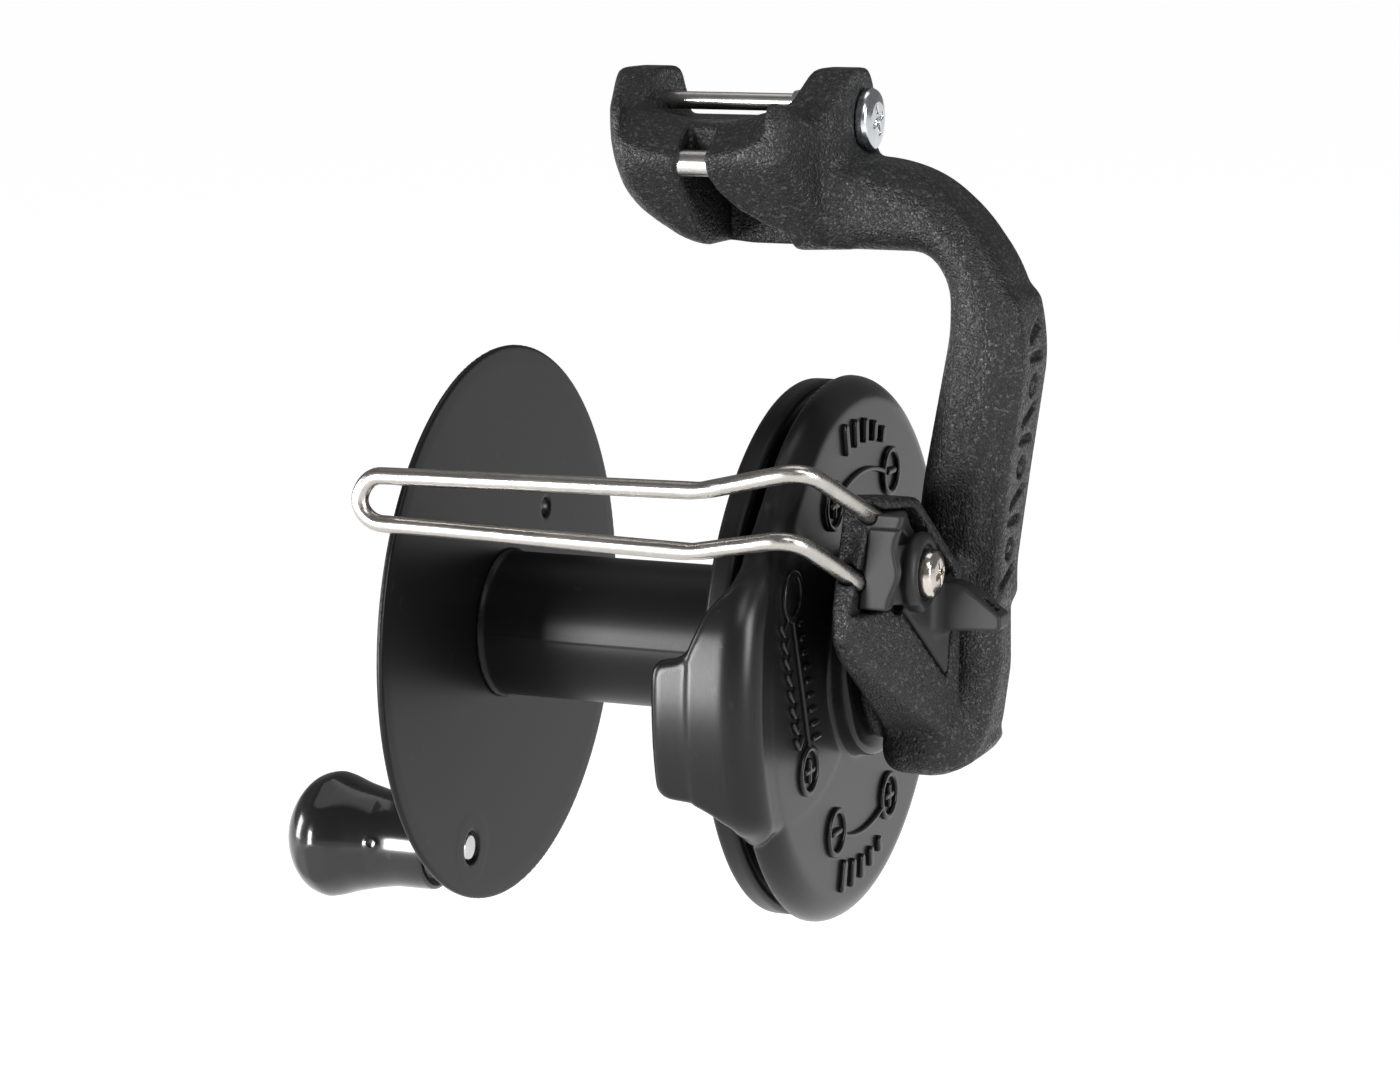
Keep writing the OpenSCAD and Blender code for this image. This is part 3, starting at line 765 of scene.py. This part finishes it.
def make_wire():
    """The guide wire, slightly nipped where the bending tool held it."""
    route, knees = wire_route()
    sides, wire_r = 28, 1.5
    points, faces = [], []
    for i, p in enumerate(route):
        t = (route[min(i + 1, len(route) - 1)] - route[max(i - 1, 0)]).normalized()
        u = t.cross(Vector((0, 1, 0))).normalized()
        v = t.cross(u)
        nip = sum(math.exp(-((p - k).length / 1.1) ** 2) for k in knees)
        for k in range(sides):
            a = 2 * math.pi * k / sides
            r = wire_r * (1 - 0.07 * nip * abs(math.cos(a)) ** 3)
            points.append(p + u * r * math.cos(a) + v * r * math.sin(a))
    for i in range(len(route) - 1):
        for k in range(sides):
            n = (k + 1) % sides
            faces.append((i * sides + k, i * sides + n, (i + 1) * sides + n, (i + 1) * sides + k))
    last = (len(route) - 1) * sides
    faces.append(tuple(range(sides - 1, -1, -1)))
    faces.append(tuple(range(last, last + sides)))
    piece("guide_wire_bent", [tuple(p) for p in points], faces, "arm", "wire", "guide_wire", REEL)


# ---- Screws ------------------------------------------------------------------------


def pan_head(name, node, slot_name, seat, y, z, r, h, turn, way=1, at=(0, 0, 0)):
    """A pan head screw along X with a cross recess. way is the side that its head faces."""
    shank, spare = 5.0, 0.6

    def shape(f):
        x = (f.x - seat) * way
        u, v = f.y - y, f.z - z
        ring = np.hypot(u, v)
        head = outline(ring, x, rounded([
            (-1, -0.1, 0), (r, -0.1, 0.25), (r, h * 0.52, 0.6), (r * 0.93, h * 0.8, 1.2),
            (r * 0.6, h, 3), (-1, h * 1.03, 0)]))
        rod = meet(ring - r * 0.34, slab(x, -shank, 0.2), 0.2)
        c, s = math.cos(turn), math.sin(turn)
        p, q = np.abs(u * c + v * s), np.abs(v * c - u * s)
        depth = h * 0.42
        taper = (x - h) * 0.1
        wing = np.minimum(meet(p - r * 0.5 - taper, q - r * 0.095 - taper * 0.4, 0.1),
                          meet(q - r * 0.5 - taper, p - r * 0.095 - taper * 0.4, 0.1))
        core = ring - r * 0.2 - taper
        recess = meet(np.minimum(wing, core), h - depth - x + ring * 0.25)
        return cut(join(head, rod, 0.1), recess, 0.12)

    below, above = shank + 0.5, h + spare
    low = seat - (below if way > 0 else above)
    high = seat + (above if way > 0 else below)
    side = r + spare
    carve(name, shape, (low, y - side, z - side), (high, y + side, z + side), 0.13,
          "arm", slot_name, node, at)


def make_screws():
    pan_head("clamp_screw_head", "clamp_screw", "zinc",
             SCREW_SEAT, SCREW_Y, SCREW_Z, 5.4, CLAMP_HEAD, 0.35)
    pan_head("guide_screw_head", "guide_screw", "nickel",
             GUIDE_SEAT, GUIDE_Y, GUIDE_Z, 4.2, GUIDE_HEAD, 0.25, at=REEL)
    seat = span("retaining_screw", 0)[0] + AXLE_HEAD - REEL_X
    pan_head("axle_screw_head", "retaining_screw", "zinc",
             seat, 0, 0, 4.6, AXLE_HEAD, 0.7, way=-1, at=REEL)


def make_pins():
    """The two bright rods of the yoke, with softened ends."""
    # the hook pin's left end stops inside the slanted cheek
    rods = (("upper_cross_pin", "cross_pin_rod", 0), ("hook_pin", "hook_pin_rod", 4))
    for node, name, shorter in rods:
        low, high = span(node, 0)
        low += shorter
        r = half_width(node, 2)
        rings = [(low, r - 0.3), (low + 0.3, r), (high - 0.3, r), (high, r - 0.3)]
        turned(name, rings, middle(node, 1), middle(node, 2), "arm", "pin", node)


def turned(name, rings, y, z, body, slot_name, node, sides=64):
    """A solid of revolution along X through rings of (x, radius)."""
    points, faces = [], []
    for x, r in rings:
        for k in range(sides):
            a = 2 * math.pi * k / sides
            points.append((x, y + r * math.cos(a), z + r * math.sin(a)))
    for i in range(len(rings) - 1):
        for k in range(sides):
            n = (k + 1) % sides
            faces.append((i * sides + k, (i + 1) * sides + k, (i + 1) * sides + n, i * sides + n))
    last = (len(rings) - 1) * sides
    faces.append(tuple(range(sides)))
    faces.append(tuple(range(last + sides - 1, last - 1, -1)))
    made = piece(name, points, faces, body, slot_name, node)
    crease(made, 25)
    return made


def crease(made, degrees):
    """Marks edges sharper than an angle, so that shading breaks there."""
    made.data.set_sharp_from_angle(angle=math.radians(degrees))


# ---- Friction disc -----------------------------------------------------------------

# Outline of the thumb pod: degrees above the front and x, with corner radii
POD = [(-18.7, 50.4, 4), (-19.3, 56.5, 2), (-20.2, 58.2, 3), (-21.4, 59.9, 3), (-24.5, 62.6, 2),
       (-60, 63.2, 0), (-60, 80, 0), (60, 80, 0), (60, 63.8, 0), (26.6, 63.6, 6), (21.9, 62.2, 6),
       (16.8, 59.1, 8), (12.5, 57.6, 6), (8.4, 56, 4), (7.5, 50.4, 4)]


def pod(f, r, angle):
    """The thumb pod on the disc's rim, in reel coordinates."""
    x = f.x
    arc = math.radians(1) * (POD_R - 1)
    plan = outline(angle * arc, x, rounded([(a * arc, b, c) for a, b, c in POD]))
    # its upper end sinks into the rim, and its free end stands back by a small step
    sunk = DISC_R - 0.8
    out = sunk + (POD_R - sunk) * smooth(-angle, -40, -12) - 0.3 * smooth(-x, -57.2, -56.7)
    body = meet(r - out, x - DISC_FACE, 5.6)
    lower_end = ((-24.5 - angle) * arc - (POD_R - r)) * 0.72
    body = meet(body, np.maximum(lower_end, (angle - 42) * arc), 3.5)
    body = meet(body, plan, 1.6)
    over = meet(body, POD_GAP - r, 0.6)
    return np.minimum(over, meet(body, DISC_BACK + 0.3 - x, 0.3))


def friction_disc(f):
    """The disc's hollow cover, with its boss, round rim and pod."""
    r = np.hypot(f.y, f.z)
    angle = np.degrees(np.arctan2(f.z, -f.y))
    turn = [math.radians(a) for a in range(0, 80, 8)]
    edge = [(DISC_R - RIM_ROUND * (1 - math.sin(a)), DISC_FACE - RIM_ROUND * (1 - math.cos(a)), 0)
            for a in turn]
    profile = outline(r, f.x, rounded([
        (11, BOSS_FACE, 0.4), (18.2, BOSS_FACE, 1.2), (18.3, DISC_FACE, 0.9)] + edge + [
        (DISC_R - 0.05, DISC_BACK, 0.5), (44, DISC_BACK, 0.4), (44, 65.9, 0.6), (11, 65.9, 0.3)]))
    return join(profile, pod(f, r, angle), 0.05 + 3.2 * smooth(r, 46.6, 49.2))


def make_disc():
    e = DISC_R + 1
    low, high = (50.3, -POD_R - 1, -e), (BOSS_FACE + 1, e, e)
    carve("friction_disc_cover", friction_disc, low, high, 0.5, "disc", "disc", "friction_disc")


def polar(r, degrees):
    """Point (y, z) on the face of the disc at an angle above the front."""
    a = math.radians(degrees)
    return -r * math.cos(a), r * math.sin(a)


def arc_bar(f, radius, low, high, width):
    """Distance to an arc about the reel axis between two angles."""
    r = np.hypot(f.y, f.z)
    angle = np.degrees(np.arctan2(f.z, -f.y))
    mid, half = (low + high) / 2, (high - low) / 2
    away = np.abs((angle - mid + 180) % 360 - 180)
    along = np.maximum(away - half, 0) * math.radians(1) * radius
    return np.hypot(r - radius, along) - width / 2


def marks(f):
    """Raised marks of the disc: plus and minus rings, joining lines and graded wedges."""
    ring_r, line = 3.9, 0.55
    flat = None
    places = [(32, 61, True), (33, 115, False), (32.7, -116, True), (32.6, -66, False), (31.4, -30, True)]

    def put(shape):
        nonlocal flat
        flat = shape if flat is None else np.minimum(flat, shape)

    for radius, degrees, plus in places:
        y, z = polar(radius, degrees)
        put(np.abs(disc(f.y, f.z, (y, z), ring_r)) - line)
        put(bar(f.y, f.z, (y - 1.7, z), (y + 1.7, z), line))
        if plus:
            put(bar(f.y, f.z, (y, z - 1.7), (y, z + 1.7), line))
    zero = polar(38.8, 24)
    put(np.abs(disc(f.y, f.z, zero, ring_r)) - line)
    end = polar(31.4, -30)
    put(bar(f.y, f.z, (zero[0], zero[1] - ring_r), (end[0], end[1] + ring_r), 0.4))
    put(arc_bar(f, 32, 68, 108, 0.9))
    put(arc_bar(f, 32.6, -109, -73, 0.9))
    for side in (1, -1):
        for i in range(5):
            middle_angle = side * 90 - 14 + 7 * i
            grow = i if side > 0 else 4 - i
            low, high = polar(37.8, middle_angle), polar(41.6 - 0.7 * grow, middle_angle)
            put(bar(f.y, f.z, low, high, 1.05))

    def on_line(t):
        """Point a share t of the way down the straight line."""
        top, bottom = zero[1] - ring_r, end[1] + ring_r
        return zero[0] + (end[0] - zero[0]) * t, top + (bottom - top) * t

    # a scale of short ticks beside the straight line
    for i in range(9):
        y, z = on_line((i + 0.5) / 9)
        put(bar(f.y, f.z, (y + 2.4, z), (y + 3.6 + 0.25 * i, z), 0.45))
    # a row of small chevrons on the line's other side
    for i in range(8):
        y, z = on_line((i + 0.5) / 8)
        for tip in (y - 6.1, y - 3.1):
            put(bar(f.y, f.z, (tip, z + 1.1), (y - 4.6, z - 0.4), 0.5))
    return meet(flat, f.x - DISC_FACE - 0.75, 0.3)


def make_marks():
    def shape(f):
        return meet(marks(f), DISC_FACE - 0.12 - f.x)

    low, high = (DISC_FACE - 0.9, -44, -45), (DISC_FACE + 1.3, 26, 45)
    carve("disc_relief", shape, low, high, 0.24, "disc", "disc", "disc_marks")


# ---- Spool -------------------------------------------------------------------------


def crank_flange(f):
    """The thin flange on the crank side, with the pin's boss and the line hole."""
    r = np.hypot(f.y, f.z)
    edge = FLANGE_R
    profile = outline(r, f.x, rounded([
        (7, 0, 0.2), (edge - 3, 0, 6), (edge, -0.1, 0.7), (edge, -1.15, 0.7), (edge - 4, -2.0, 6),
        (16, -2, 2), (14, -5.8, 0.6), (7, -5.8, 0.3)]))
    k = np.hypot(f.y - KNOB_Y, f.z - KNOB_Z)
    boss = meet(k - 6.5, slab(f.x, -5.2, -1), 0.5)
    shape = join(profile, boss, 1.2)
    shape = cut(shape, k - 2.35)
    shape = cut(shape, meet(k - 3.0, -0.7 - f.x), 0.2)
    line = np.hypot(f.y - 17.3, f.z - 18.6)
    return cut(shape, line - 1.8, 0.35)


def brake_flange(f):
    r = np.hypot(f.y, f.z)
    a, b = DRUM_END, PLATE_BACK - 1
    return outline(r, f.x, rounded([
        (5, a, 0.1), (BRAKE_R - 5, a, 4), (BRAKE_R - 1.6, a - 0.4, 1), (BRAKE_R, a + 0.5, 0.8),
        (BRAKE_R, b + 1.4, 0.8), (BRAKE_R - 0.9, b + 2, 0.6), (BRAKE_R - 2.2, b + 1.6, 0.8),
        (BRAKE_R - 3, b, 1), (5, b, 0.1)]))


def drum(f):
    r = np.hypot(f.y, f.z)
    profile = outline(r, f.x, rounded([
        (7, 0.02, 0), (DRUM_R + 0.9, 0.02, 0.1), (DRUM_R, 1.1, 0.9), (DRUM_R, DRUM_END - 1.1, 0.9),
        (DRUM_R + 0.9, DRUM_END - 0.02, 0.1), (7, DRUM_END - 0.02, 0)]))
    # a faint parting line along the front and the back
    seam = meet(np.abs(f.z) - 0.12, r - DRUM_R - 0.05)
    return join(profile, meet(seam, slab(f.x, 1.5, DRUM_END - 1.5)), 0.2)


def make_spool():
    spool_parts = (
        ("crank_side_flange", "crank_flange", crank_flange, FLANGE_R + 1, -6.6, 0.8, 0.43),
        ("brake_side_flange", "brake_flange", brake_flange, BRAKE_R + 1,
         DRUM_END - 1, PLATE_BACK + 1.8, 0.45),
        ("line_drum", "drum", drum, DRUM_R + 1.6, -0.8, DRUM_END + 0.8, 0.4))
    for name, node, shape, r, start, end, step in spool_parts:
        carve(name, shape, (start, -r, -r), (end, r, r), step, "spool", "reel", node)


def make_knob_pin():
    """The riveted pin of the crank, with its end a little below the flange's face."""
    pin_head = span("knob_pin", 0)[0]
    rings = [(pin_head, 3.5), (pin_head + 0.4, 3.9), (pin_head + 1.6, 3.9), (pin_head + 1.6, 3),
             (REEL_X - 5.2, 3), (REEL_X - 5.2, 2.3), (REEL_X - 0.75, 2.3), (REEL_X - 0.6, 2.35),
             (REEL_X - 0.35, 2.1), (REEL_X - 0.3, 1.4)]
    turned("crank_pin", rings, KNOB_Y, KNOB_Z + REEL_Z, "spool", "steel", "knob_pin", 72)


# ---- Knob --------------------------------------------------------------------------


def knob(f):
    """The waisted knob, in reel coordinates, with the recess for its cap."""
    y, z = f.y - KNOB_Y, f.z - KNOB_Z
    r = np.hypot(y, z)
    recess = KNOB_END + 5.35
    profile = outline(r, f.x, rounded([
        (3.1, KNOB_START, 0.2), (8.2, KNOB_START, 0.5), (8.3, -8.5, 20), (8.35, -14, 20), (9.1, -18, 20),
        (10.0, -21.8, 20), (11.1, -24.8, 20), (11.65, -27, 20), (10.9, -30, 20), (8.9, -32.4, 20),
        (6.2, -34.1, 8), (5.0, KNOB_END, 0.8), (4.2, KNOB_END, 0.1), (4.2, recess, 0),
        (3.1, recess, 0)]))
    angle = np.degrees(np.arctan2(z, -y))
    away = np.abs((angle + 18 + 36) % 72 - 36)
    # shallow flats of three straight stretches, ending in a point beside the flange
    flat = np.interp(-f.x, [12.6, 17.4, 24.5, 28, 31], [8.45, 8.75, 10.6, 11.05, 10.3]).astype(np.float32)
    shape = cut(profile, flat - r * np.cos(np.radians(away)), 0.08)
    # small round mould mark
    dot = np.hypot(f.x + 16, np.radians(angle - 8) * 9)
    return join(shape, meet(np.abs(dot - 0.9) - 0.28, profile - 0.16, 0.1), 0.12)


def make_knob():
    r = 13
    low = (KNOB_END - 1, KNOB_Y - r, KNOB_Z - r)
    high = (KNOB_START + 1, KNOB_Y + r, KNOB_Z + r)
    carve("crank_knob_grip", knob, low, high, 0.32, "knob", "knob", "crank_knob")


# ---- Stage -------------------------------------------------------------------------


def make_stage():
    """A plain pale floor below the reel."""
    mesh = bpy.data.meshes.new("floor")
    size, z = 40, cad_box[0][2] - 0.16
    corners = [(-size, -size, z), (size, -size, z), (size, size, z), (-size, size, z)]
    mesh.from_pydata(corners, [], [(0, 1, 2, 3)])
    floor = bpy.data.objects.new("floor", mesh)
    scene.collection.objects.link(floor)
    pale = Paint("floor_pale", (0.4, 0.4, 0.4), 0, 0.9)
    pale.shader.inputs["Emission Color"].default_value = (1, 1, 1, 1)
    pale.shader.inputs["Emission Strength"].default_value = 0.9
    floor.data.materials.append(pale.material)


def soft_light(name, place, size, power):
    """An area lamp aimed at the middle of the reel."""
    lamp = bpy.data.lights.new(name, "AREA")
    lamp.shape = "RECTANGLE"
    lamp.size, lamp.size_y = size
    lamp.energy = power
    made = bpy.data.objects.new(name, lamp)
    made.location = place
    aim = Vector((0, 0, -0.08))
    made.rotation_euler = (aim - Vector(place)).to_track_quat("-Z", "Y").to_euler()
    scene.collection.objects.link(made)


def make_lights():
    soft_light("front_left", (-0.50, -0.95, -0.12), (0.28, 0.5), 21)
    soft_light("left", (-1.05, -0.30, 0.0), (0.3, 0.45), 9)
    soft_light("right", (1.05, -0.34, 0.16), (0.35, 0.6), 12)
    soft_light("key", (0.75, -0.75, 0.85), (0.5, 0.5), 4)
    soft_light("top", (0.0, 0.25, 1.1), (0.9, 0.7), 3)
    world = bpy.data.worlds.new("studio")
    scene.world = world
    world.use_nodes = True
    background = world.node_tree.nodes["Background"]
    background.inputs["Color"].default_value = (1, 1, 1, 1)
    background.inputs["Strength"].default_value = 0.2


make_stage()
make_lights()
dress_cad_nodes()
make_arm()
make_block()
make_wire()
make_screws()
make_pins()
make_disc()
make_marks()
make_spool()
make_knob_pin()
make_knob()
